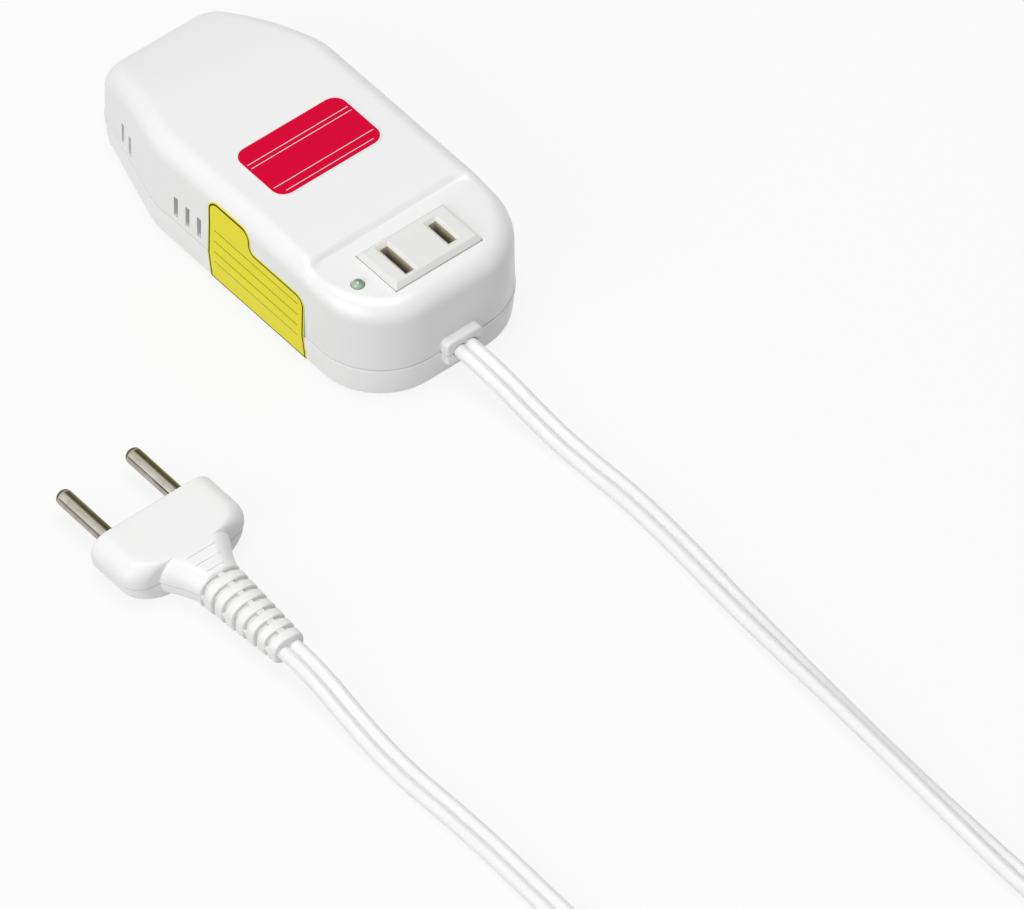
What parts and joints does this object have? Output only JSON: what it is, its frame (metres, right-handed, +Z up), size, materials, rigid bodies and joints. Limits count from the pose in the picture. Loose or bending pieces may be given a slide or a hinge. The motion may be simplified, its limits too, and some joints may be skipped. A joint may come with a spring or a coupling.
{
  "type": "travel voltage converter",
  "caption": "White two-shell travel voltage converter with a two-blade outlet on a stepped front deck, a pilot lamp, side vents and a short flat lead with a round-pin plug.",
  "frame": {"origin": "middle of the case's resting face, below the middle of the case's bounding box without lead and plug", "axes": "+Z up from the bench, -Y towards the outlet end where the lead leaves, +X to the right seen from that end with Z up"},
  "size_m": [0.1243, 0.3551, 0.0288],
  "materials": {
    "shell_white": "satin",
    "insert_white": "satin",
    "lead_white": "gloss",
    "pin_nickel": "polished",
    "lamp_green": "gloss",
    "label_red": "gloss",
    "label_yellow": "gloss",
    "screw_steel": "plain",
    "contact_brass": "plain",
    "board_tan": "matt",
    "sink_aluminium": "plain",
    "black_package": "matt",
    "pad_grey": "matt",
    "thermal_fuse_tan": "satin",
    "core_grey": "matt",
    "winding_copper": "enamelled",
    "capacitor_yellow": "satin",
    "capacitor_brown": "satin",
    "capacitor_blue": "satin",
    "resistor_blue": "satin",
    "resistor_grey": "matt",
    "varistor_blue": "satin",
    "fuse_glass": "clear",
    "preset_blue": "matt",
    "preset_white": "matt",
    "clamp_grey": "matt",
    "wire_red": "satin",
    "wire_black": "satin",
    "wire_grey": "satin"
  },
  "bodies": {
    "converter": {"upper_shell": "shell_white", "lower_shell": "shell_white", "case_screws": "screw_steel", "socket_insert": "insert_white", "wide_slot_contact": "contact_brass", "narrow_slot_contact": "contact_brass", "output_wires": "wire_red", "lamp": "lamp_green", "lamp_wires": "wire_grey", "top_label": "label_red", "side_label": "label_yellow", "circuit_board": "board_tan", "board_screws": "screw_steel", "heat_sink": "sink_aluminium", "triac": "black_package", "triac_pad": "pad_grey", "triac_screw": "screw_steel", "triac_nut": "screw_steel", "thermal_fuse": "thermal_fuse_tan", "choke_core": "core_grey", "choke_winding": "winding_copper", "film_capacitor": "capacitor_yellow", "snubber_capacitor": "capacitor_brown", "smoothing_capacitor": "capacitor_blue", "bridge_rectifier": "black_package", "control_chip": "black_package", "small_resistors": "resistor_blue", "power_resistor": "resistor_grey", "varistor": "varistor_blue", "fuse": "fuse_glass", "fuse_clips": "contact_brass", "preset_base": "preset_blue", "cord_clamp": "clamp_grey", "clamp_screws": "screw_steel", "input_wires": "wire_black", "cord": "lead_white", "plug_body": "lead_white", "pin_bridge": "insert_white", "plug_pin_left": "pin_nickel", "plug_pin_right": "pin_nickel"},
    "preset_disc": {"preset_rotor": "preset_white"}
  },
  "joints": [
    {"name": "preset_turn", "type": "hinge", "parent": "converter", "child": "preset_disc", "pos_m": [-0.004, 0.0345, 0.0112], "axis": [0, 0, 1], "range_deg": [-135, 135]}
  ]
}
